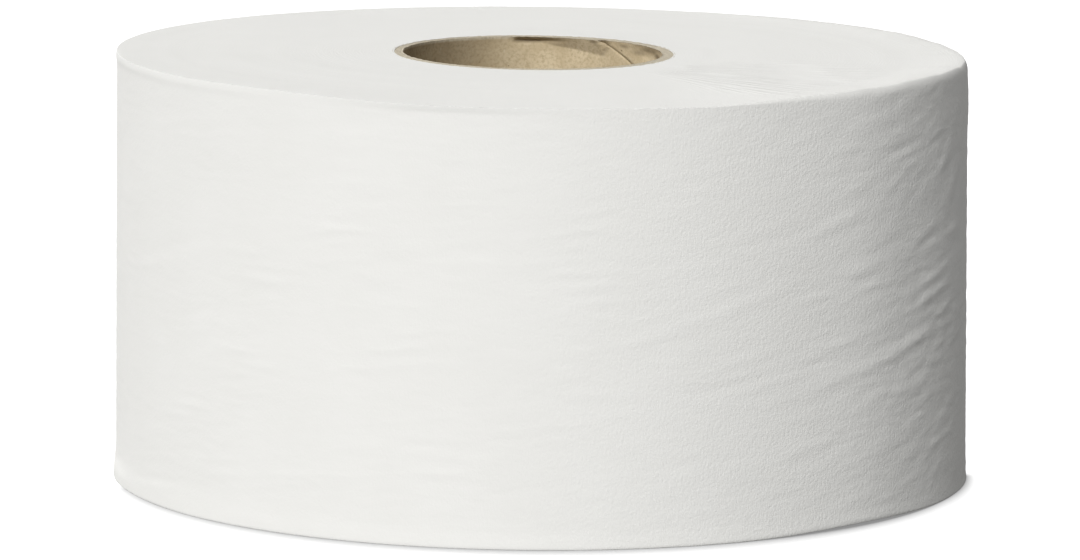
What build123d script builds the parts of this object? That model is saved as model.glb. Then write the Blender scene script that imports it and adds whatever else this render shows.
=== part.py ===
from build123d import *
import os

# A jumbo roll of toilet tissue, standing on its end: one long tissue web wound on a cardboard tube.
# Millimetres, +Z up. The origin is on the tube's axis, on the end that the roll stands on.
# -Y is the front. The web's free end lies at the back.

# Roll
roll_diameter = 188.0
roll_width = 93.0
# how far the middle of the winding lies off the tube's axis, to the right
winding_runout = 1.6

# Flank of the winding: the saw leaves each end a little wide, with a rounded shoulder
shoulder_inset = 1.2
shoulder_height = 3.0
end_flare = 0.45
flare_length = 10.0

# Free end of the web, which lies as one step on the flank
sheet_step = 0.4
tail_azimuth = 100.0

# Turns of the web, seen on both ends as one V-shaped spiral line; each turn shown stands for some sixty
shown_turns = 7
turn_line_width = 0.8
turn_line_depth = 0.5
# from the tube to the start of the line, and from its end to the shoulder
turn_line_margin = 3.0

# Cardboard tube
core_bore_diameter = 58.0
core_wall = 2.1

# Helical butt joint of the tube's inner ply, seen as a shallow channel in the bore
seam_pitch = 96.0
seam_width = 0.8
seam_depth = 0.3
# where the joint meets the upper rim
seam_azimuth = 60.0

# How far every cutting tool runs past the face that it cuts
overrun = 1.0

FULL_TURN = 360.0
HALF_TURN = 180.0

roll_radius = roll_diameter / 2
core_bore_radius = core_bore_diameter / 2
core_radius = core_bore_radius + core_wall


def flank_profile(radius):
    """Half section of a plain winding, from its axis out to a flank of that radius.
    Towards each end the waist flares out, and a rounded shoulder rolls in from there."""
    waist_end = (radius - end_flare, shoulder_height + flare_length)
    waist = Line((radius - end_flare, roll_width / 2), waist_end)
    flare = Line(waist_end, (radius, shoulder_height))
    shoulder = TangentArc(flare @ 1, (radius - shoulder_inset, 0), tangent=waist % 1)
    end_face = Line(shoulder @ 1, (0, 0))
    lower_half = Curve() + [waist, flare, shoulder, end_face]
    upper_half = mirror(lower_half, about=Plane.XZ.offset(-roll_width / 2))
    axis_line = Line((0, roll_width), (0, 0))
    return Plane.XZ * make_face(lower_half + upper_half + axis_line)


def wound_body():
    """The winding as a two-centre spiral: two half turns whose centres lie a quarter step either side
    of the middle, so that they meet flush on one side and leave one sheet's step on the other."""
    shift = sheet_step / 4
    inner_half = Pos(-shift, 0) * revolve(flank_profile(roll_radius - shift), Axis.Z, HALF_TURN)
    outer_half = Pos(shift, 0) * revolve(flank_profile(roll_radius + shift), Axis.Z, -HALF_TURN)
    return Pos(winding_runout, 0) * Rot(0, 0, tail_azimuth) * (inner_half + outer_half)


def turn_line():
    """Cutter for the line of the turns in an end face at Z = 0, as V-shaped half rings.
    Their centre drifts from the tube's axis to the middle of the winding as the line grows."""
    start_radius = core_radius + turn_line_margin
    end_radius = roll_radius - shoulder_inset - turn_line_margin
    pitch = (end_radius - start_radius) / shown_turns
    drift = winding_runout / shown_turns
    lip_reach = turn_line_width / 2 * (1 + overrun / turn_line_depth)
    centre = 0.0
    radius = start_radius
    half_rings = []
    for half in range(2 * shown_turns):
        side = -1 if half % 2 else 1
        inner_lip = (radius - lip_reach, overrun)
        bottom = (radius, -turn_line_depth)
        outer_lip = (radius + lip_reach, overrun)
        section = Plane.XZ * make_face(Polyline(inner_lip, bottom, outer_lip, close=True))
        half_rings.append(Pos(centre, 0) * revolve(section, Axis.Z, side * HALF_TURN))
        growth = (pitch + side * drift) / 2
        centre += side * growth
        radius += growth
    return Part() + half_rings


def tissue_winding():
    """All turns of the web as one body, bored for the tube, with the line of its turns in both ends."""
    bore = Pos(0, 0, -overrun) * extrude(Circle(core_radius), roll_width + 2 * overrun)
    upper_line = Pos(0, 0, roll_width) * turn_line()
    lower_line = mirror(upper_line, about=Plane.XY.offset(roll_width / 2))
    return wound_body() - bore - upper_line - lower_line


def seam_channel():
    """Cutter for the helical joint in the bore: a narrow strip, swept past both rims."""
    path = Helix(seam_pitch, roll_width + 2 * overrun, core_bore_radius, center=(0, 0, -overrun))
    section = Plane(path @ 0, x_dir=(1, 0, 0), z_dir=path % 0) * Rectangle(2 * seam_depth, seam_width)
    start_angle = seam_azimuth - FULL_TURN * (roll_width + overrun) / seam_pitch
    return Rot(0, 0, start_angle) * sweep(section, path, is_frenet=True)


def cardboard_core():
    """Spiral-wound cardboard tube, sawn flush with the web."""
    wall = Circle(core_radius) - Circle(core_bore_radius)
    return extrude(wall, roll_width) - seam_channel()


os.makedirs("parts", exist_ok=True)
export_step(tissue_winding(), "parts/tissue_winding.step")
export_step(cardboard_core(), "parts/cardboard_core.step")
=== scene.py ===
# %% [markdown]
# # A jumbo roll of toilet tissue
# One long web of soft tissue is wound some four hundred times round a cardboard tube and sawn to
# width. Two things make it look real: the soft, slightly crumpled shape of the wound web, and the
# rough brown board of the tube. The imported CAD model gives the sizes and the place of everything,
# so it is loaded first.

# %% Load the imported model
import math
import random

import bmesh
import bpy
import numpy as np
from mathutils import Matrix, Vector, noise


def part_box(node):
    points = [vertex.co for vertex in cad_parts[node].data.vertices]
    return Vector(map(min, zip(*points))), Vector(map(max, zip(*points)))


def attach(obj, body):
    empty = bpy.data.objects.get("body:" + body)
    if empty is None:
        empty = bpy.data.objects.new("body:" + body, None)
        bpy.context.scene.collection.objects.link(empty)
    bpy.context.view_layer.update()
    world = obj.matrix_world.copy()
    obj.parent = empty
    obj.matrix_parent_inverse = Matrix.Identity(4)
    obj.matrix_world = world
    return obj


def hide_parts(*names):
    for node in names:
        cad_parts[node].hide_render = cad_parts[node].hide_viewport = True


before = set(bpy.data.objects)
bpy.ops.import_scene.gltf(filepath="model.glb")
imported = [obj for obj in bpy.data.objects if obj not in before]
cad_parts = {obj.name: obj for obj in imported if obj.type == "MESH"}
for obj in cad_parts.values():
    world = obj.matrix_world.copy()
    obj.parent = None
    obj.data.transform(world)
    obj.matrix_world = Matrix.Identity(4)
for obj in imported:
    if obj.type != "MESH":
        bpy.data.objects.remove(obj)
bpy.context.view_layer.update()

MM = 0.001
print("CAD nodes:", sorted(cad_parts))

# %% [markdown]
# ## Sizes
# The CAD solids are plain, but their sizes are the real ones. Reading them from the frame, instead
# of typing them again, keeps the soft pieces exactly where the solids are. Two sizes can't be read
# from a box, because they lie inside it: the wall of the tube, and how far the middle of the
# winding lies to the right of the tube's axis.

# %% Sizes from the frame
CORE_WALL = 2.1 * MM
RUN_OUT = 1.6 * MM

winding_low, winding_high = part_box("tissue_winding")
core_low, core_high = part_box("cardboard_core")
winding_size = winding_high - winding_low
roll_width = core_high.z - core_low.z
core_radius = (core_high.x - core_low.x) / 2
core_bore_radius = core_radius - CORE_WALL

# the flank is a spiral, so this is its mean radius, to a tenth of a millimetre
roll_radius = round((winding_size.x + winding_size.y) / 4, 4)
print(f"roll {2 * roll_radius / MM:.1f} x {roll_width / MM:.1f} mm, tube {2 * core_radius / MM:.1f} mm")

# %% [markdown]
# ## Camera
# A product photograph like this one is taken from far away with a long lens, so that the sides of
# the roll stay parallel. The camera's height and distance follow from how round the upper and the
# lower rim look. It is aimed by turning it down a little, with no lens shift, and it was held a
# third of a degree askew: both rims lean the same way, and so do the sides.

# %% Camera
# both in pixels of the photograph
PHOTO_WIDTH = 1080
FOCAL_PIXELS = 6313

camera_place = (1.38 * MM, -1.3791, 0.2516)
camera_pitch = math.radians(8.625)
camera_lean = math.radians(0.318)

camera_data = bpy.data.cameras.new("camera")
camera_data.sensor_width = 36.0
camera_data.lens = camera_data.sensor_width * FOCAL_PIXELS / PHOTO_WIDTH
camera = bpy.data.objects.new("camera", camera_data)
camera.location = camera_place
turned_down = Matrix.Rotation(math.pi / 2 - camera_pitch, 3, "X")
camera.rotation_euler = (turned_down @ Matrix.Rotation(camera_lean, 3, "Z")).to_euler()
bpy.context.scene.collection.objects.link(camera)
bpy.context.scene.camera = camera
print(f"lens {camera_data.lens:.1f} mm")

# %% [markdown]
# ## Shader arithmetic
# A finish is a tree of nodes. Placing them one by one hides what they work out, so one small class
# wraps a socket and takes plain arithmetic: `height * 0.5 + grain` adds the two Math nodes. Any
# other node comes from its `node` method, which makes the settings first and the sockets after.

# %% One class for node trees
class Wire:
    """An output socket of a node tree. Arithmetic on it adds Math nodes."""

    def __init__(self, tree, socket=None):
        self.tree = tree
        self.socket = socket

    def node(self, kind, settings=(), sockets=(), output=0):
        """Adds a node of this kind and returns one of its outputs."""
        made = self.tree.nodes.new(kind)
        for name, value in dict(settings).items():
            setattr(made, name, value)
        for key, value in dict(sockets).items():
            if isinstance(value, Wire):
                self.tree.links.new(value.socket, made.inputs[key])
            else:
                made.inputs[key].default_value = value
        return Wire(self.tree, made.outputs[output] if made.outputs else None)

    def other(self, output):
        """Another output of the same node."""
        return Wire(self.tree, self.socket.node.outputs[output])

    def math(self, operation, *values):
        return self.node("ShaderNodeMath", {"operation": operation}, enumerate(values))

    def __add__(self, value):
        return self.math("ADD", self, value)

    def __radd__(self, value):
        return self.math("ADD", value, self)

    def __sub__(self, value):
        return self.math("SUBTRACT", self, value)

    def __rsub__(self, value):
        return self.math("SUBTRACT", value, self)

    def __mul__(self, value):
        return self.math("MULTIPLY", self, value)

    def __rmul__(self, value):
        return self.math("MULTIPLY", value, self)

    def __truediv__(self, value):
        return self.math("DIVIDE", self, value)

    def __rtruediv__(self, value):
        return self.math("DIVIDE", value, self)

    def __pow__(self, value):
        return self.math("POWER", self, value)

    def __neg__(self):
        return self.math("MULTIPLY", self, -1)

    def at_least(self, value):
        return self.math("MAXIMUM", self, value)

    def at_most(self, value):
        return self.math("MINIMUM", self, value)

    def cosine(self):
        return self.math("COSINE", self)

    def ease(self, low, high):
        """0 below low, 1 above high, and a smooth rise between."""
        settings = {"interpolation_type": "SMOOTHSTEP"}
        return self.node("ShaderNodeMapRange", settings, {"Value": self, "From Min": low, "From Max": high})


# %% Helpers for places
def object_coordinates(start):
    """Where each point lies, in metres."""
    return start.node("ShaderNodeTexCoord", (), (), "Object")


def x_and_y(place):
    """The first two values of a vector."""
    x = place.node("ShaderNodeSeparateXYZ", (), {"Vector": place})
    return x, x.other("Y")


def vector(x, y, z):
    """Three values as one vector. The first is a Wire."""
    return x.node("ShaderNodeCombineXYZ", (), {"X": x, "Y": y, "Z": z})


def distance(x, y):
    """How far a point at x and y lies from the origin."""
    return (x * x + y * y) ** 0.5


def stored(start, name):
    """The value that each vertex keeps under this name."""
    return start.node("ShaderNodeAttribute", {"attribute_name": name}, (), "Fac")


# %% Helpers for finishes
MIX_SHARE, MIX_FIRST, MIX_SECOND, MIXED_COLOUR = 0, 6, 7, 2


def grey(level):
    return (level, level, level, 1)


def grain(place, scale, detail=2.0, roughness=0.5):
    """Smooth noise from 0 to 1 at a place, with this many grains to the metre."""
    sockets = {"Vector": place, "Scale": scale, "Detail": detail, "Roughness": roughness}
    return place.node("ShaderNodeTexNoise", (), sockets)


def tint(share, first, second):
    """A colour between two others: the first where the share is 0, the second where it is 1."""
    sockets = {MIX_SHARE: share, MIX_FIRST: first, MIX_SECOND: second}
    return share.node("ShaderNodeMix", {"data_type": "RGBA"}, sockets, MIXED_COLOUR)


def darken_by(colour, over):
    """A colour darkened by another, by multiplying the two."""
    settings = {"data_type": "RGBA", "blend_type": "MULTIPLY"}
    sockets = {MIX_SHARE: 1.0, MIX_FIRST: colour, MIX_SECOND: over}
    return colour.node("ShaderNodeMix", settings, sockets, MIXED_COLOUR)


def bump(relief, depth):
    """A normal for this relief, where 1 stands this much above 0."""
    return relief.node("ShaderNodeBump", (), {"Height": relief, "Distance": depth})


def new_finish(name):
    """A material with an empty tree, and a Wire to start its nodes from."""
    material = bpy.data.materials.new(name)
    material.use_nodes = True
    material.node_tree.nodes.clear()
    return material, Wire(material.node_tree)


def coat(start, sockets):
    """Ends a finish with a Principled shader with these sockets."""
    surface = start.node("ShaderNodeBsdfPrincipled", (), sockets)
    start.node("ShaderNodeOutputMaterial", (), {"Surface": surface})


# %% [markdown]
# ## Stage
# The roll stands on a white ground that shows nothing but the thin shadow under it. Stronger lamps
# would bleach the ground, but the roll with it. So the floor is a pale matt sheet that also glows,
# only for what the camera sees, and the glow is dimmed round the foot of the roll: a painted shadow
# over the real shadow that the sheet catches. The glow lights nothing. The world is white to the
# camera in the same way, and a plain grey as a light.

# %% White for the camera only
def camera_only(start):
    """1 for what the camera, a mirror or a glass sees, and 0 for what lights the roll."""
    path = start.node("ShaderNodeLightPath")
    seen = path.other("Is Camera Ray") + path.other("Is Glossy Ray") + path.other("Is Transmission Ray")
    return seen.at_most(1.0)


def shader_mix(share, first, second):
    """A shader between two others, as tint does for colours."""
    return share.node("ShaderNodeMixShader", (), {0: share, 1: first, 2: second})


# %% Floor sheet
FLOOR_HALF = 3.0
FLOOR_DROP = 0.05 * MM

floor_grid = bmesh.new()
bmesh.ops.create_grid(floor_grid, x_segments=2, y_segments=2, size=FLOOR_HALF)
bmesh.ops.translate(floor_grid, verts=floor_grid.verts, vec=(0, 0, -FLOOR_DROP))
floor_mesh = bpy.data.meshes.new("floor")
floor_grid.to_mesh(floor_mesh)
floor_grid.free()
floor = bpy.data.objects.new("floor", floor_mesh)
bpy.context.scene.collection.objects.link(floor)

# %% Where the painted shadow at the foot lies
floor_finish, start = new_finish("pale_floor")
floor_x, floor_y = x_and_y(object_coordinates(start))
floor_x = floor_x - RUN_OUT
from_axis = distance(floor_x, floor_y)
to_front = (-floor_y / from_axis).at_least(0.0)
to_corner = floor_x.ease(roll_radius - 8.0 * MM, roll_radius)

# how far it reaches at the sides, and how much further at the front and at the right, in mm
side_reach, front_reach, corner_reach = 1.3, 14.0, 1.0
shadow_width = (side_reach + front_reach * to_front + corner_reach * to_corner) * MM
into_shadow = 1.0 - (from_axis - roll_radius) / shadow_width
into_shadow = into_shadow.at_least(0.0).at_most(1.0)

# it ends further forward at the left than at the right, where its corner is darker
shadow_end = floor_x * 0.12 - 17.5 * MM
in_front = 1.0 - floor_y.ease(shadow_end, shadow_end + 7.5 * MM - floor_x * 0.03)
# painted shadow: how much the glow is dimmed, laid over the real shadow that the sheet catches
painted_shadow = (0.74 + 0.10 * to_corner) * into_shadow * into_shadow * in_front

# %% Floor finish
ground = start.node("ShaderNodeBsdfDiffuse", (), {"Color": grey(0.25)})
seen_ground = start.node("ShaderNodeBsdfDiffuse", (), {"Color": grey(0.35)})
glow = start.node("ShaderNodeEmission", (), {"Color": grey(1), "Strength": 1.0 - painted_shadow})
seen_floor = start.node("ShaderNodeAddShader", (), {0: seen_ground, 1: glow})
floor_shader = shader_mix(camera_only(start), ground, seen_floor)
start.node("ShaderNodeOutputMaterial", (), {"Surface": floor_shader})
floor_mesh.materials.append(floor_finish)

# %% World
world = bpy.data.worlds.new("studio")
world.use_nodes = True
world.node_tree.nodes.clear()
start = Wire(world.node_tree)
dim_room = start.node("ShaderNodeBackground", (), {"Color": grey(0.27)})
white_room = start.node("ShaderNodeBackground", (), {"Color": grey(1)})
room = shader_mix(camera_only(start), dim_room, white_room)
start.node("ShaderNodeOutputWorld", (), {"Surface": room}, None)
bpy.context.scene.world = world
bpy.context.scene.view_settings.view_transform = "Standard"

# %% [markdown]
# ## Lamps
# The left two thirds of the roll are evenly bright, and its tone falls off towards the right edge.
# That takes a key from the front left, a wide lamp from behind on the left, and an even grey room.
# Suns give such light without a hot spot, at a level at which a colour comes out about as it is
# written. Each one's share is how much it adds to an upright surface that faces it. The key is the
# narrower one: it grazes the right side and draws the creases there.

# %% Lamps
def soft_sun(name, bearing, elevation, share, spread):
    """A wide sun at a bearing in degrees from the front to the right."""
    lamp = bpy.data.lights.new(name, "SUN")
    lamp.energy = math.pi * share / math.cos(math.radians(elevation))
    lamp.angle = math.radians(spread)
    placed = bpy.data.objects.new(name, lamp)
    placed.rotation_euler = (math.radians(90 - elevation), 0, math.radians(bearing))
    bpy.context.scene.collection.objects.link(placed)
    print(f"{name}: {lamp.energy:.2f} at {bearing} degrees")


soft_sun("key", -19, 30, 0.74, 18)
soft_sun("side_light", -137, 21, 0.54, 60)

# %% [markdown]
# ## Grids for round pieces
# Both pieces are round, so both start as a half section: a loop of a few corners whose sides are
# cut into short edges, then spun round the axis. A spin gets slow as its mesh grows, so only an
# eighth is spun, and it is doubled three times. That gives an even grid with no poles and no seam.
# Its columns and rows are then moved, as a sculptor would push clay, to give each piece its soft or
# crumpled shape.

# %% Spin a section into a grid
MERGE_DISTANCE = 0.002 * MM


def spun_grid(corners, cuts, columns):
    """A closed grid from a section's (radius, height) corners, each side cut so many times."""
    grid = bmesh.new()
    points = [grid.verts.new((radius, 0, height)) for radius, height in corners]
    sides = [grid.edges.new(ends) for ends in zip(points, points[1:] + points[:1])]
    for side, count in zip(sides, cuts):
        bmesh.ops.subdivide_edges(grid, edges=[side], cuts=count)
    axis = {"cent": (0, 0, 0), "axis": (0, 0, 1)}
    section = grid.verts[:] + grid.edges[:]
    bmesh.ops.spin(grid, geom=section, angle=math.tau / 8, steps=columns // 8, use_merge=False, **axis)
    for share in (8, 4, 2):
        copied = bmesh.ops.duplicate(grid, geom=grid.verts[:] + grid.edges[:] + grid.faces[:])["geom"]
        copied_verts = [part for part in copied if isinstance(part, bmesh.types.BMVert)]
        turned = Matrix.Rotation(math.tau / share, 3, "Z")
        bmesh.ops.rotate(grid, verts=copied_verts, cent=(0, 0, 0), matrix=turned)
        bmesh.ops.remove_doubles(grid, verts=grid.verts, dist=MERGE_DISTANCE)
    bmesh.ops.recalc_face_normals(grid, faces=grid.faces)
    return grid


# %% Between a grid and its arrays
def grid_mesh(name, grid):
    """The grid as a smooth-shaded mesh, with its vertices' places as an array."""
    mesh = bpy.data.meshes.new(name)
    grid.to_mesh(mesh)
    grid.free()
    mesh.shade_smooth()
    places = np.empty(3 * len(mesh.vertices))
    mesh.vertices.foreach_get("co", places)
    print(f"{name}: {len(mesh.polygons)} faces")
    return mesh, places.reshape(-1, 3)


def move_vertices(mesh, x, y, z):
    mesh.vertices.foreach_set("co", np.stack((x, y, z), axis=-1).ravel())
    mesh.update()
    print(f"{mesh.name}: x from {x.min() / MM:.1f} to {x.max() / MM:.1f} mm, top at {z.max() / MM:.1f} mm")


def keep_value(mesh, name, values):
    """Keeps a value on each vertex, for the finish to read."""
    mesh.attributes.new(name, "FLOAT", "POINT").data.foreach_set("value", values)


def edge_vertices(mesh):
    """The first and the second vertex of each edge."""
    ends = np.empty(2 * len(mesh.edges), np.int32)
    mesh.edges.foreach_get("vertices", ends)
    return ends.reshape(-1, 2).T


# %% Curves that shape the pieces
def ease(value, low, high):
    """0 below low, 1 above high, and a smooth rise between."""
    share = np.clip((value - low) / (high - low), 0, 1)
    return share * share * (3 - 2 * share)


def fade(value, low, high):
    """1 below low, 0 above high, and a smooth fall between."""
    return 1 - ease(value, low, high)


def zone(value, start, full, fading, end):
    """1 from full to fading, 0 before start and after end, and smooth in between."""
    return ease(value, start, full) * fade(value, fading, end)


def bell(value, middle, spread):
    """A smooth bump of height 1."""
    return np.exp(-(((value - middle) / spread) ** 2) / 2)


# %% Noise that shapes the pieces
def ripple(x, y, z):
    """Smooth noise from -1 to 1 at each point, with waves about two units long."""
    points = np.stack(np.broadcast_arrays(x, y, z), axis=-1)
    return np.array([noise.noise(point) for point in points.tolist()])


def ripple_round(angle, size, z):
    """The same noise on a circle of this size, so that it closes on itself."""
    return ripple(np.cos(angle) * size, np.sin(angle) * size, z)


# %% [markdown]
# ## The winding: layout of the grid
# The section runs up the bore, out along the upper end, over a rounded shoulder, down the flank and
# back along the lower end. The creases of the web run almost level, so the flank needs short rows
# more than narrow columns. The web ends in one sheet's step, which a full spin can't give. So the
# first two columns are drawn together there: one lies on the end of the web, and the other on the
# turn below it.

# %% Winding grid
TAIL_AZIMUTH = math.radians(100.0)
SHEET_STEP = 0.4 * MM
CUT_GAP = 0.12 * MM
COLUMNS = 400
flank_inset = 1.2 * MM
shoulder_height = 3.0 * MM

section_corners = [
    (core_radius, 0),
    (core_radius, roll_width),
    (roll_radius - flank_inset, roll_width),
    (roll_radius, roll_width - shoulder_height),
    (roll_radius, shoulder_height),
    (roll_radius - flank_inset, 0),
]
section_cuts = [3, 34, 7, 172, 7, 9]
winding_mesh, places = grid_mesh("wound_tissue", spun_grid(section_corners, section_cuts, COLUMNS))

# %% The column of each vertex, and how far round the roll it lies
x, y, z = places.T
step = math.tau / COLUMNS
column = np.rint(np.arctan2(y, x) % math.tau / step).astype(int) % COLUMNS
column[column == 0] = COLUMNS
gap_angle = CUT_GAP / roll_radius
turn = gap_angle + (column - 1) * (math.tau - gap_angle) / (COLUMNS - 1)
azimuth = turn + TAIL_AZIMUTH
along_web = turn * roll_radius

# the bearing is in degrees from the front, to the right
bearing = (np.degrees(azimuth) + 90 + 180) % 360 - 180

# %% The side of the section that each vertex lies on
# more than rounding moves a corner, and less than any step between two rows
NEAR = 0.001 * MM

reach = np.hypot(x, y)
on_bore = reach < core_radius + NEAR
on_top = (z > roll_width - NEAR) & ~on_bore
on_base = (z < NEAR) & ~on_bore
on_end = on_top | on_base
on_flank = reach > roll_radius - NEAR
on_shoulder = ~(on_bore | on_end | on_flank)
upper = z > roll_width / 2

# from 0 at the tube to 1 at the rim of an end, and from 0 at the rim to 1 at the flank
across_end = (reach - core_radius) / (roll_radius - flank_inset - core_radius)
over_shoulder = np.clip((reach - roll_radius + flank_inset) / flank_inset, 0, 1)
up_flank = (z - shoulder_height) / (roll_width - 2 * shoulder_height)
print(int(on_flank.sum()), "of", len(z), "vertices lie on the flank")

# %% [markdown]
# ## The winding: rims
# A wound roll isn't a cylinder. At the upper left its last turns stand out as a low lip with a
# shallow hollow under it. At the right the upper rim is soft and worn, and at the far right the
# paper has slumped into a shoulder. The lower rim is rolled under a little at the front. Sculpting
# by hand could do this, but couldn't be run again on other sizes. So each zone is a smooth function
# of the bearing, and fades into the next one.

# %% Zones round the roll
slump = zone(bearing, 68, 90, 98, 122) + 0.3 * ease(-bearing, 125, 160)
far_left = zone(-bearing, 62, 88, 105, 140)
crisp = zone(-bearing, 24, 60, 105, 150)
right_rim = zone(bearing, 0, 40, 130, 170)
softened = zone(bearing, 18, 52, 120, 160)
rolled_under = 0.25 * bell(bearing, -8, 32) + 0.45 * bell(bearing, 44, 9)
print(f"the rim is softened on {100 * softened.mean():.0f} percent of the roll")

# %% How far each rim rolls in and down, in millimetres
fuzz = 0.5 + 0.5 * ripple(along_web / (1.9 * MM), 6.4, 1.1)
softness = softened * (1.0 + 0.35 * ripple(along_web / (6 * MM), 1.3, 5.5))
upper_inset = 0.05 + 0.12 * right_rim * fuzz + 0.45 * softness + 0.30 * slump
upper_inset = upper_inset + 0.55 * bell(bearing, 56, 14)
upper_height = 0.06 + 0.15 * right_rim * fuzz + 1.2 * softness + 1.1 * slump

slow_wave = ripple_round(azimuth, 1.7, 4.2)
lower_inset = 0.09 + 0.03 * slow_wave + 0.20 * rolled_under
lower_height = 0.25 + 0.06 * slow_wave + 1.7 * rolled_under

inset = np.where(upper, upper_inset, lower_inset) * MM
rim_height = np.where(upper, upper_height, lower_height) * MM
print(f"upper rim {upper_height.min():.2f} to {upper_height.max():.2f} mm high")

# %% Spread the rows between the rims
over = over_shoulder * math.pi / 2
from_end = np.where(on_shoulder, rim_height * (1 - np.cos(over)), 0.0)
height = np.where(upper, roll_width - from_end, from_end)
flank_height = lower_height * MM + up_flank * (roll_width - (upper_height + lower_height) * MM)
height = np.where(on_flank, flank_height, np.where(on_bore, z, height))
below_top = roll_width - height

# %% [markdown]
# ## The winding: waist, foot and lip
# The roll stands on a foot that its own weight has spread, and narrows a little from there upwards.
# A soft upright edge runs down its front right. All this is less than a millimetre, but it is what
# keeps the outline from looking turned on a lathe. Each trait is a small change of the radius, and
# they are simply added up.

# %% Waist
up_roll = height / roll_width
taper = -(0.02 + 0.60 * up_roll) * MM
taper = taper + (0.20 - 0.36 * up_roll) * MM * zone(bearing, 20, 75, 100, 150)
out_of_round = 0.08 * MM * ripple_round(azimuth, 1.3, height / (45 * MM))
soft_edge = 0.42 * MM * bell(bearing, 48, 6)

# %% Foot
foot_height = (4.0 + 4.0 * ease(-bearing, 0, 70)) * MM
foot = (0.17 + 0.03 * ease(-bearing, 20, 80)) * MM * fade(height / foot_height, 0.0, 1.0)

# at the far right only its lowest millimetre stands out, and at the far left it is widest
foot = foot * (1 - 0.7 * bell(bearing, 84, 10))
foot = foot + 0.22 * MM * bell(bearing, 82, 5) * fade(height, 0.1 * MM, 1.2 * MM)
foot = foot + 0.50 * MM * bell(bearing, -80, 5) * fade(height, 1.8 * MM, 5.5 * MM)

# %% Lip at the left, and the slumped paper at the right
lip_depth = 1.30 - 0.35 * bell(bearing, -72, 7) + 0.30 * ripple(along_web / (13 * MM), 2.2, 7.9)
lip = crisp * (0.11 + 0.06 * far_left) * MM * bell(below_top, lip_depth * MM, 0.60 * MM)
lip = lip + 0.24 * MM * bell(bearing, -13, 9) * fade(below_top, 0.2 * MM, 1.7 * MM)
swollen = 0.28 * MM * slump * bell(below_top, 9 * MM, 4 * MM)

# %% Flank without its creases
spiral = SHEET_STEP * (turn / math.tau - 0.5)
flank = roll_radius + spiral + taper + foot + lip + swollen + out_of_round + soft_edge
print(f"flank from {flank[on_flank].min() / MM:.2f} to {flank[on_flank].max() / MM:.2f} mm")

# %% [markdown]
# ## The winding: creases
# The web was pulled slightly askew as it was wound, so it carries soft creases that rise towards
# the right at a small angle. Most are only a tenth of a millimetre high, but they catch the light,
# and bump alone would leave the mesh bare. So vertices are moved, in three layers: noise drawn out
# along the slope; a few hundred single folds scattered by a seeded draw; and the folds that stand
# out in the photograph, placed one by one. A slow drift bends them all, so that none runs quite
# straight. At the right the web was pulled harder: there the creases are stronger, and steeper
# towards both ends of the roll.

# %% Distances along and across a crease
CREASE_SLOPE = math.radians(8.5)

drift = 1.0 * MM * ripple(along_web / (12 * MM), height / (8 * MM), 3.3)


def along_and_across(run, rise, slope):
    """Distances along and across the creases, for a point this far along and up the web."""
    along = run * math.cos(slope) + rise * math.sin(slope)
    across = rise * math.cos(slope) - run * math.sin(slope)
    return along, across


# %% Creases: smooth noise along the slope
def creases_at(slope_degrees, bend, seed):
    """Large and small creases that rise at this slope, bent by this share of the drift.
    Each wave is drawn out along the slope, and all of them go from -1 to 1 or so."""
    along, across = along_and_across(along_web, height, math.radians(slope_degrees))
    across = across + bend * drift
    coarse = ripple(along / (8.0 * MM), across / (2.5 * MM), seed + 1.7)
    ridged = 0.25 - np.abs(ripple(along / (6.0 * MM), across / (1.8 * MM), seed + 21.4))
    middling = ripple(along / (3.0 * MM), across / (1.1 * MM), seed + 5.9)
    fine = ripple(along / (1.5 * MM), across / (0.75 * MM), seed + 13.1)
    patchy = 0.35 + 0.65 * ease(ripple(along / (18 * MM), across / (11 * MM), seed + 9.3), -0.30, 0.35)
    return patchy * (coarse + 0.8 * ridged), 0.60 * middling + 0.30 * fine


large, small = creases_at(4, 1.0, 0.0)
at_back = ease(np.abs(bearing), 120, 160)
creases = (0.045 + 0.035 * at_back) * MM * (large + small)

# %% Creases: the harder pull at the right
right_side = zone(bearing, 12, 60, 105, 160)
strongest = 0.65 + 0.65 * bell(bearing, 66, 11) - 0.30 * ease(bearing, 74, 86)
to_ends = ease(height, 50 * MM, 70 * MM) + 0.5 * fade(height, 6 * MM, 26 * MM)
for slope_degrees, share, seed in ((13, 1 - to_ends, 40.0), (27, to_ends, 60.0)):
    large, small = creases_at(slope_degrees, 0.5, seed)
    both = (1 - 0.15 * to_ends) * large + 1.1 * small
    creases += 0.14 * MM * strongest * right_side * share * both
print(f"noise moves the web by {creases.min() / MM:.2f} to {creases.max() / MM:.2f} mm")

# %% Creases: scattered folds
SCATTERED_FOLDS = 300


def fold(run, rise, length, width, relief, slope):
    """One fold in the web: a long ridge with a hollow along each side. The relief is its height."""
    along, across = along_and_across(along_web - run, height - rise, slope)
    across = across + 0.5 * drift
    reach_along = np.exp(-((1.7 * along / length) ** 2))
    share = (across / width) ** 2
    return relief * reach_along * (1 - 0.6 * share) * np.exp(-share / 2)


draw = random.Random(20)
flank_run = math.tau * roll_radius
scattered_strength = 0.30 + 0.55 * right_side + 0.25 * at_back
for _ in range(SCATTERED_FOLDS):
    run = draw.uniform(0, flank_run)
    rise = draw.uniform(4 * MM, roll_width - 5 * MM)
    length = draw.uniform(6, 20) * MM
    width = draw.uniform(0.7, 1.4) * MM
    relief = draw.choice((-1, 1)) * draw.uniform(0.04, 0.13) * MM
    slope = CREASE_SLOPE + math.radians(draw.uniform(-4, 5))
    creases += scattered_strength * fold(run, rise, length, width, relief, slope)

# %% Creases: the ones that stand out in the photograph
def web_run(bearing_degrees):
    """How far along the web, from its free end, a bearing from the front lies."""
    return (math.radians(bearing_degrees - 90) - TAIL_AZIMUTH) % math.tau * roll_radius


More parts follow.
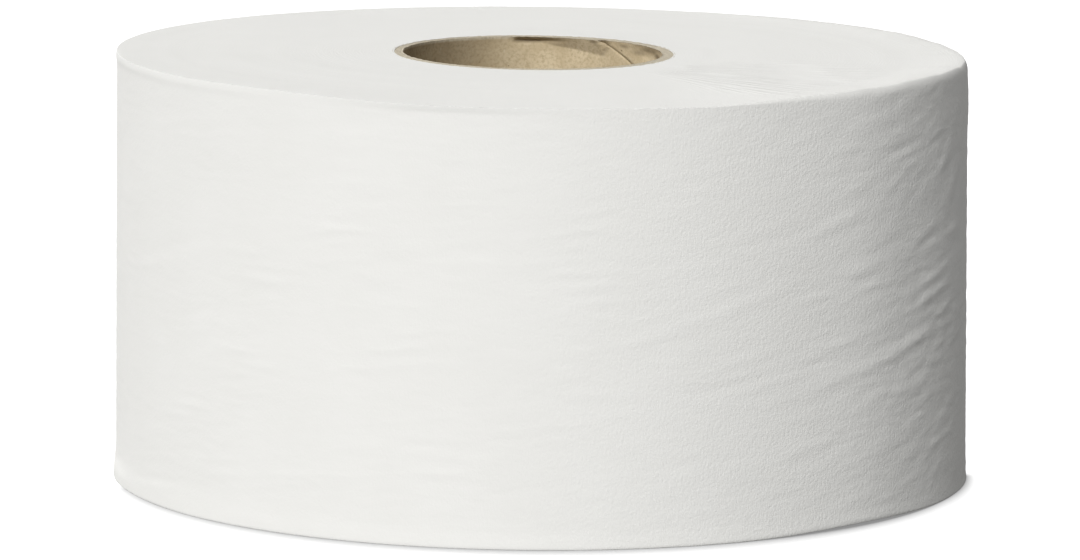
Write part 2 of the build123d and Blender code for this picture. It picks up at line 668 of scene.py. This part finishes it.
# bearing in degrees, height, length, width and relief in millimetres, slope in degrees
strong_folds = [
    (27, 50.5, 26, 1.4, 0.08, 17),
    (43, 40.3, 14, 1.0, 0.10, 12),
    (42, 66.0, 12, 1.3, 0.14, 14),
    (54, 74.0, 9, 1.0, 0.13, 28),
    (68, 75.5, 12, 1.5, 0.20, 30),
    (71, 68.5, 10, 1.4, 0.16, 28),
    (62, 61.0, 12, 1.6, 0.20, 14),
    (64, 50.5, 14, 1.2, 0.20, 13),
    (64, 46.6, 19, 1.1, 0.26, 12),
    (67, 42.3, 11, 0.9, 0.22, 14),
    (58, 37.5, 17, 1.3, 0.22, 11),
    (46, 33.5, 28, 1.7, 0.15, 8),
    (57, 27.5, 15, 1.5, 0.15, 12),
]
for seen_bearing, rise, length, width, relief, slope in strong_folds:
    run = web_run(seen_bearing)
    creases += fold(run, rise * MM, length * MM, width * MM, relief * MM, math.radians(slope))

# %% Creases: faint ones at the left and the front, in threes
FAINT_WIDTH = 0.85 * MM

# bearing in degrees, height and length in millimetres, slope in degrees
faint_folds = [
    (-72, 50, 10, 5),
    (-42, 56, 9, 1),
    (-29, 62, 9, 3),
    (-20, 41, 16, 7),
    (-42, 35, 10, -2),
    (-52, 21, 9, 2),
    (-42, 14, 9, 0),
    (-13, 19, 13, 0),
    (5, 55, 12, 1),
    (7, 67, 8, 12),
    (27, 35, 20, 12),
]
for seen_bearing, rise, length, slope in faint_folds:
    for side in (-1, 0, 1):
        run = web_run(seen_bearing + draw.uniform(-3, 3))
        relief = draw.uniform(0.030, 0.060) * MM
        middle = (rise + draw.uniform(2.2, 3.8) * side) * MM
        creases += fold(run, middle, length * MM, FAINT_WIDTH, relief, math.radians(slope))
print(f"with all folds, creases from {creases.min() / MM:.2f} to {creases.max() / MM:.2f} mm")

# %% [markdown]
# ## The winding: free end and ends
# At the back the web ends. Its last few centimetres lie a little loose, so the edge stands off the
# turn below and isn't quite straight. On both ends of the roll the edges of the turns show as fine
# rings: bands of turns have crept up or down a little against their neighbours. Modelling every
# turn would take millions of faces for the same look.

# %% Free end of the web
to_tail = flank_run - along_web
loose = (0.10 + 0.22 * ease(ripple(height / (11 * MM), 2.3, 6.1), -0.2, 0.5)) * MM
inside_rims = ease(height, 2 * MM, 9 * MM) * ease(below_top, 3 * MM, 10 * MM)
lift = loose * np.exp(-to_tail / (5 * MM)) * inside_rims

slow_wobble = 0.35 * MM * ripple(height / (16 * MM), 8.8, 0.2)
quick_wobble = 0.08 * MM * ripple(height / (1.8 * MM), 0, 3)
near_tail = np.maximum(np.exp(-to_tail / (8 * MM)), np.exp(-along_web / (8 * MM)))
azimuth = azimuth + (slow_wobble + quick_wobble) * near_tail / roll_radius
print(f"the free end stands off by up to {lift.max() / MM:.2f} mm")

# %% Rings on the ends
ring = core_radius + across_end * (roll_radius - core_radius)
band_shift = 1.4 * MM * ripple_round(azimuth, 1.1, 7.7)
bands = ripple((ring + band_shift) / (2.6 * MM), np.cos(azimuth) * 0.5, np.sin(azimuth) * 0.5)
swell = ripple(x / (30 * MM), y / (30 * MM), 12.4)
inside_end = ease(across_end, 0.0, 0.06) * fade(across_end, 0.9, 1.0)
end_relief = (0.07 * bands + 0.14 * swell) * MM * inside_end

# %% Put the winding together
flank = flank + (creases + lift) * ease(below_top, 0.2 * MM, 2.2 * MM) * ease(height, 0.4 * MM, 3 * MM)
radius = np.where(on_shoulder, flank - inset * (1 - np.sin(over)), flank)
radius = np.where(on_end, core_radius + across_end * (flank - inset - core_radius), radius)
radius = np.where(on_bore, core_radius, radius)
centre = np.where(on_bore, 0.0, np.where(on_end, across_end, 1.0)) * RUN_OUT
height = np.where(on_top, roll_width + end_relief, height)
height = np.where(on_base, np.abs(end_relief) * 0.6, height)

# %% [markdown]
# The cut edge of the upper end wavers a little and stands highest at the right, while the front of
# that end sags by about a millimetre, and the foot is lifted a little at the front right. Each of
# these moves whole turns up or down, so it fades out both across the end and along the flank.

# %% Waver of the cut edge
edge_part = np.where(on_top, ease(across_end, 0.80, 1.0), np.exp(-below_top / (1.2 * MM)))
rim_wave = ripple(along_web / (7 * MM), 3.1, 0.7)
nicks = ripple(along_web / (1.6 * MM), 9.7, 2.8)
edge_wave = (0.10 * rim_wave + 0.07 * nicks) * (0.25 + 0.75 * right_rim)
edge_wave += 0.16 * softened * ripple(along_web / (8 * MM), 4.4, 9.1)
edge_wave += 0.06 + 0.26 * bell(bearing, 127, 18) + 0.66 * bell(bearing, 61, 14)
height = height + edge_wave * MM * edge_part * upper * ~on_bore

# %% Sag of the upper end, and lift of the foot
front_sag = 0.95 * MM * zone(bearing, -42, -12, 20, 38)
sagging = np.where(on_top, ease(across_end, 0.35, 1.0), np.exp(-below_top / (5 * MM)))
height = height - front_sag * sagging * upper * ~on_bore

foot_lift = 0.75 * MM * bell(bearing, 47, 9)
lifted = np.where(on_base, ease(across_end, 0.93, 1.0), np.exp(-height / (6 * MM)))
height = height + foot_lift * lifted * ~upper * ~on_bore

# %% The innermost turns bulge over the rim of the tube, from just above it
bulge = 0.10 + 0.32 * np.abs(np.cos(azimuth)) + 0.10 * ripple_round(azimuth, 5, 17.3)
first_turn = on_bore & (height > roll_width - NEAR)
radius = np.where(first_turn, core_radius - bulge * MM, radius)
under_bulge = on_bore & ~first_turn & (height > 0.7 * roll_width)
height = np.where(under_bulge, roll_width - 0.08 * MM, height)

# %% [markdown]
# The upper end isn't quite level: the paper has settled, and it dips to the right. Round the tube it
# rises a little towards the back, and the tube leans to the left by a quarter of a millimetre. Web
# and tube do this together, so one function does it for both.

# %% Settle the upper end
TOP_TILT = 0.008
TUBE_TILT = 0.0085
TUBE_LEAN = 0.25 * MM
TILT_REACH = 13 * MM


def settled(x, y, height):
    """The place of a point on the roll, after the upper end has settled."""
    share = height / roll_width
    near_tube = np.exp(-np.clip(np.hypot(x, y) - core_radius, 0, None) / TILT_REACH)
    moved_height = height + share * (TUBE_TILT * y * near_tube - TOP_TILT * x)
    return x - TUBE_LEAN * share * near_tube, y, moved_height


move_vertices(winding_mesh, *settled(centre + radius * np.cos(azimuth), radius * np.sin(azimuth), height))

# %% [markdown]
# ## The winding: map along the web
# The embossing follows the web round the roll, so the finish needs to know how far along the web
# and how high up each point lies. A UV map in metres says that. It begins and ends at the free end,
# where the real pattern breaks off too. The step itself gets sharp edges, and a second value tells
# the sawn ends from the flank.

# %% Map along the web
def loop_values(mesh, values):
    """A value of each vertex, for each corner of each face."""
    vertex_of = np.empty(len(mesh.loops), np.int32)
    mesh.loops.foreach_get("vertex_index", vertex_of)
    return values[vertex_of]


across_map = np.where(on_top, roll_width + roll_radius - radius, height)
across_map = np.where(on_base, radius - roll_radius, across_map)
map_u = loop_values(winding_mesh, along_web)
map_v = loop_values(winding_mesh, across_map)

# the faces of the step span the whole map, so they are put at its start
corners = map_u.reshape(-1, 4)
on_step = corners.max(axis=1) - corners.min(axis=1) > flank_run / 2
corners[on_step] = 0.0
web_map = winding_mesh.uv_layers.new(name="web")
web_map.uv.foreach_set("vector", np.stack((corners.ravel(), map_v), axis=-1).ravel())

sawn = np.where(on_flank, 0.0, np.where(on_shoulder, 1 - over_shoulder, 1.0))
keep_value(winding_mesh, "sawn", sawn)
print(int(on_step.sum()), "faces on the step")

# %% Sharp edges where the web ends
first, second = edge_vertices(winding_mesh)
same_column = column[first] == column[second]
at_step = (column[first] == 1) | (column[first] == COLUMNS)
on_side = on_flank | on_shoulder
sharp = same_column & at_step & on_side[first] & on_side[second]
sharp |= ~same_column & on_bore[first] & on_bore[second]

# the saw left the upper rim sharp, except at the right, where it is soft
for rim_ring in (on_top & (across_end > 1 - NEAR), on_flank & (up_flank > 1 - NEAR)):
    cut_ring = rim_ring & (softened < 0.2)
    sharp |= ~same_column & cut_ring[first] & cut_ring[second]
winding_mesh.edges.foreach_set("use_edge_sharp", sharp)
print(int(sharp.sum()), "sharp edges along the free end and the rims")

# %% [markdown]
# ## Tissue
# Tissue is soft, matt and never quite even. Its weave of fibres is creped into fine upright lines,
# and rollers emboss it with rows of tiny dots a millimetre apart. Those are texture, too small to
# model, so they are relief in the finish: a lattice of dots that comes and goes in patches, fine
# grain stretched up and down, and crinkles along the steeper creases. On the sawn ends the edges of
# the turns show instead, as thin rings, and beside the tube the saw dragged the paper into lines
# that fan out. The light falls flat on the left of the roll, and there the texture is fainter.

# %% Tissue: places
tissue, start = new_finish("tissue")
place = object_coordinates(start)
place_x, place_y = x_and_y(place)
web_u, web_v = x_and_y(start.node("ShaderNodeUVMap", {"uv_map": "web"}))

from_middle = place_x - RUN_OUT
from_axis = distance(from_middle, place_y)
to_side = from_middle / from_axis
to_back = place_y / from_axis
fluff = grain(place, 1500.0, 3.0, 0.6)

# %% Tissue: relief of the flank
DOT_PITCH = 1.1 * MM
CRINKLE_SLOPE = math.radians(20)

dots = (web_u * (math.tau / DOT_PITCH)).cosine() * (web_v * (math.tau / DOT_PITCH)).cosine()
dot_patches = grain(place, 45.0).ease(0.35, 0.65)
crepe = grain(vector(web_u / (0.42 * MM), web_v / (1.9 * MM), 0.0), 1.0, 3.0)
along = web_u * math.cos(CRINKLE_SLOPE) + web_v * math.sin(CRINKLE_SLOPE)
across = web_v * math.cos(CRINKLE_SLOPE) - web_u * math.sin(CRINKLE_SLOPE)
crinkles = grain(vector(along / (3.0 * MM), across / (0.6 * MM), 0.0), 1.0, 2.0, 0.55)
flank_relief = dots * (0.01 + 0.04 * dot_patches) + crepe * 0.8 + fluff * 1.5 + crinkles * 0.45
flank_relief = flank_relief * (0.30 + 0.70 * to_side.ease(-0.30, 0.60))

# %% Tissue: rings and drag lines on the ends
FAN_X = 20.0 * MM
FAN_Y = -28.0 * MM
FAN_AZIMUTH = math.radians(-14)

rings = grain(vector(to_side * 9.0, to_back * 9.0, from_axis / (0.45 * MM)), 1.0, 2.0)
ring_patches = grain(place, 38.0).ease(0.42, 0.68)

fan_x = place_x - FAN_X
fan_y = place_y - FAN_Y
fan_reach = distance(fan_x, fan_y)
drag_place = vector(fan_x / fan_reach * 30.0, fan_y / fan_reach * 30.0, fan_reach / (16 * MM))
drag_lines = grain(drag_place, 1.0, 1.5)
in_line = (fan_x * math.cos(FAN_AZIMUTH) + fan_y * math.sin(FAN_AZIMUTH)) / fan_reach
fan_zone = fan_reach.ease(4 * MM, 14 * MM) * (1.0 - fan_reach.ease(40 * MM, 62 * MM))
drag = drag_lines * 7.0 * in_line.ease(0.50, 0.85) * fan_zone * grain(place, 50.0).ease(0.32, 0.58)
sawn_relief = rings * (0.2 + 0.6 * ring_patches) + drag + fluff * 0.4

# %% Tissue: colour and coat
sawn_share = stored(start, "sawn")
relief = flank_relief * (1 - sawn_share) + sawn_relief * sawn_share
cloud = grain(place, 60.0, 3.0)
coat(start, {
    "Base Color": tint(cloud, (0.840, 0.836, 0.806, 1), (0.872, 0.868, 0.842, 1)),
    "Roughness": 0.93 + cloud * 0.07,
    "Normal": bump(relief, 0.08 * MM),
    "Specular IOR Level": 0.15,
})
print(len(tissue.node_tree.nodes), "nodes in the tissue")

# %% Place the winding
winding_mesh.materials.append(tissue)
winding = bpy.data.objects.new("wound_tissue", winding_mesh)
bpy.context.scene.collection.objects.link(winding)
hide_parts("tissue_winding")
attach(winding, "root")

# %% [markdown]
# ## The tube: a grid that is wound like the board
# The tube is made of narrow strips of board glued round a bar, each turn butted against the last.
# The joint of the inner strip runs down the bore as a steep screw line. Twisting the spun grid by
# the same pitch lays its columns along that line, so a fine gap needs only five columns drawn
# together, however long the rows are.

# %% Tube grid
SEAM_PITCH = 96.0 * MM
SEAM_AZIMUTH = math.radians(59.0)
TUBE_COLUMNS = 360
TOP_ZONE = 14 * MM
TUBE_GAP = 0.04 * MM

tube_radius = core_radius - TUBE_GAP
tube_corners = [
    (core_bore_radius, 0),
    (core_bore_radius, roll_width - TOP_ZONE),
    (core_bore_radius, roll_width),
    (tube_radius, roll_width),
    (tube_radius, 0),
]
tube_cuts = [44, 59, 7, 40, 5]
tube_mesh, places = grid_mesh("paper_tube", spun_grid(tube_corners, tube_cuts, TUBE_COLUMNS))

# %% Where each vertex of the tube lies
x, y, height = places.T
radius = np.hypot(x, y)
wall_share = np.clip((radius - core_bore_radius) / (tube_radius - core_bore_radius), 0, 1)
in_bore = wall_share < 0.01
below_top = roll_width - height
on_rim = (below_top < NEAR) | (height < NEAR)
tube_step = math.tau / TUBE_COLUMNS
ply_column = np.rint(np.arctan2(y, x) % math.tau / tube_step).astype(int) % TUBE_COLUMNS

# %% Draw the columns of the joint together, then twist the grid
SEAM_SPACING = 0.13 * MM

# of the five columns, the outer two are the lips of the gap and the inner three its bottom
from_seam = ply_column - round(SEAM_AZIMUTH / tube_step)
at_seam = np.abs(from_seam) <= 2
in_gap = np.abs(from_seam) <= 1
ply_angle = ply_column * tube_step
ply_angle[at_seam] = SEAM_AZIMUTH + from_seam[at_seam] * SEAM_SPACING / core_bore_radius
tube_azimuth = ply_angle - math.tau * below_top / SEAM_PITCH
degrees_round = np.degrees(tube_azimuth) % 360

# %% [markdown]
# ## The tube: cut rim, lifted ply and dents
# The saw leaves the rim a little ragged, with the plies of the board just visible. Near the top of
# the far wall a corner of the inner ply has come loose and leans inwards, between the joint and a
# crease that runs down from the rim, and it has parted from the ply behind it. To its right is a
# small dent, and to its left the edge of the rim is worn pale. Here the place is given in degrees
# round the tube, counted from its right side.

# %% The loose corner of the inner ply
crease_depth = (0.4 + 3.2 * np.clip((100 - degrees_round) / 42, 0, 1)) * MM
flap = np.clip(1 - below_top / crease_depth, 0, 1)
flap_side = zone(degrees_round, 57.0, 58.5, 94, 100)
flap_lean = (0.75 + 0.75 * ease(100 - degrees_round, 0, 40)) * MM * flap * flap_side

parted = ease(degrees_round, 66, 90) ** 2 * fade(degrees_round, 97, 100)
parting = parted * bell(below_top, 0.90 * MM, 0.34 * MM)
print(f"the loose ply leans in by up to {flap_lean.max() / MM:.1f} mm")

# %% Dent, wear and waves of the wall
dent = 0.7 * MM * bell(degrees_round, 29, 5.5) * bell(below_top, 2.2 * MM, 1.3 * MM)
rim_wear = 0.16 * MM * ripple_round(tube_azimuth, 9, height / (5 * MM))
rim_wear = rim_wear * (np.exp(-below_top / (2.2 * MM)) + np.exp(-height / (2.2 * MM)))
board_waves = 0.05 * MM * ripple_round(tube_azimuth, 6, height / (9 * MM))

# the saw spread the cut edge inwards, most of all at the right
spread_right = bell((degrees_round + 180) % 360 - 180, 0, 42)
rim_spread = (0.20 + 0.60 * spread_right) * MM * np.exp(-below_top / (1.1 * MM)) * (1 - flap_side)

# %% Put the tube together
GAP_DEPTH = 0.45 * MM
PARTING_DEPTH = 1.0 * MM

inward = flap_lean + rim_wear + rim_spread + board_waves
inward = inward - dent - GAP_DEPTH * in_gap - PARTING_DEPTH * parting
radius = radius - inward * (1 - wall_share)

# three ridges on the cut rim show its plies, and its edge is ragged
ply_lines = 0.07 * MM * np.cos(wall_share * 3 * math.tau)
ragged = 0.10 * MM * ripple_round(tube_azimuth, 22, wall_share * 2)
rim_move = (ply_lines + ragged - 0.05 * MM) * on_rim
height = height + np.where(below_top < roll_width / 2, rim_move, np.abs(rim_move))
move_vertices(tube_mesh, *settled(radius * np.cos(tube_azimuth), radius * np.sin(tube_azimuth), height))

first, second = edge_vertices(tube_mesh)
corner = on_rim & (in_bore | (wall_share > 0.99))
tube_mesh.edges.foreach_set("use_edge_sharp", corner[first] & corner[second])

# %% Where the board is cut or worn, and where the joint runs
worn_edge = zone(degrees_round, 92, 108, 166, 186) * fade(below_top, 0.25 * MM, 0.75 * MM) * in_bore
keep_value(tube_mesh, "cut", np.where(on_rim, 1.0, 0.8 * worn_edge))
keep_value(tube_mesh, "joint", np.where(in_gap & in_bore, 1.0, 0.0))

# %% Dark spots, and painted shade on the loose ply, in its gap and along the dent
# degrees round, depth below the rim, half length and half height in millimetres, and darkness
# the spots at 24, 30 and 36.5 degrees paint the shade along the upper edge of the dent; the others darken
# small spots of the board
dark_spots = [
    (61.5, 0.45, 0.8, 0.35, 0.8),
    (55.0, 0.35, 0.6, 0.30, 0.5),
    (45.7, 0.95, 1.0, 0.30, 0.6),
    (36.5, 1.95, 1.6, 0.40, 0.45),
    (30.0, 1.15, 2.0, 0.35, 0.50),
    (24.0, 1.10, 1.8, 0.35, 0.40),
    (19.5, 1.90, 1.2, 0.50, 0.80),
    (55.6, 1.60, 0.35, 0.40, 0.6),
    (56.7, 2.30, 0.35, 0.40, 0.7),
    (57.8, 3.00, 0.35, 0.40, 0.6),
]
# painted shade on the loose ply, which leans in and faces down, and painted shadow in the gap where it
# parts from the ply behind
painted_flap_shade = flap_side * fade(below_top / crease_depth, 0.85, 1.15)
painted_shade_and_spots = np.maximum(parting * 0.75, painted_flap_shade * (0.22 + 0.16 * ease(degrees_round, 62, 84)))
for middle, depth, half_length, half_height, darkness in dark_spots:
    along_rim = np.radians(degrees_round - middle) * core_bore_radius
    spot = bell(along_rim, 0, half_length * MM) * bell(below_top, depth * MM, half_height * MM)
    painted_shade_and_spots = np.maximum(painted_shade_and_spots, darkness * spot)
keep_value(tube_mesh, "painted_shade_and_spots", painted_shade_and_spots * in_bore)
print(len(dark_spots), "dark_spots")

# %% [markdown]
# ## Board
# The board is pressed from waste paper, so its brown is mottled: pale and dark fibres, a few
# specks, and soft clouds between. Where the saw cut it, the fibres are torn and paler. One noise
# would look like stone, so each of these has a noise of its own size, and they are laid over each
# other from the ground up.

# %% Board: mottled brown
board, start = new_finish("board")
place = object_coordinates(start)
clouds = grain(place, 130.0, 3.0, 0.55)
fibres = grain(place, 1500.0, 4.0, 0.65)
specks = grain(place, 620.0, 1.0)
brown = tint(clouds.ease(0.3, 0.7), (0.54, 0.440, 0.285, 1), (0.67, 0.565, 0.390, 1))
fibred = tint(fibres.ease(0.25, 0.62), (0.46, 0.370, 0.230, 1), brown)
pale_specked = tint(specks.ease(0.72, 0.80) * 0.5, fibred, (0.72, 0.66, 0.50, 1))
dark_specked = tint(specks.ease(0.25, 0.20), pale_specked, (0.16, 0.12, 0.07, 1))

# painted shade: the left side of the bore is darkened and made browner, as if in shadow, with a soft and
# uneven border
across_tube = x_and_y(place)[0]
to_left = clouds * 0.3 - across_tube / core_bore_radius
painted_left_shade = darken_by(dark_specked, tint(to_left.ease(0.05, 0.95), grey(1), (0.46, 0.44, 0.41, 1)))

# %% Board: cuts, bruises and coat
cut_colour = tint(fibres.ease(0.3, 0.7), (0.44, 0.385, 0.29, 1), (0.62, 0.56, 0.44, 1))
with_cut = tint(stored(start, "cut"), painted_left_shade, cut_colour)
# the painted shade and the dark spots, in one dark brown
with_shade_and_spots = tint(stored(start, "painted_shade_and_spots"), with_cut, (0.13, 0.095, 0.055, 1))
coat(start, {
    "Base Color": tint(stored(start, "joint") * 0.7, with_shade_and_spots, (0.10, 0.075, 0.04, 1)),
    "Roughness": 0.80 + 0.15 * fibres,
    "Normal": bump(fibres * 0.6 + clouds * 0.6, 0.15 * MM),
    "Specular IOR Level": 0.25,
})
print(len(board.node_tree.nodes), "nodes in the board")

# %% Place the tube
tube_mesh.materials.append(board)
tube = bpy.data.objects.new("paper_tube", tube_mesh)
bpy.context.scene.collection.objects.link(tube)
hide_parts("cardboard_core")
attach(tube, "root")
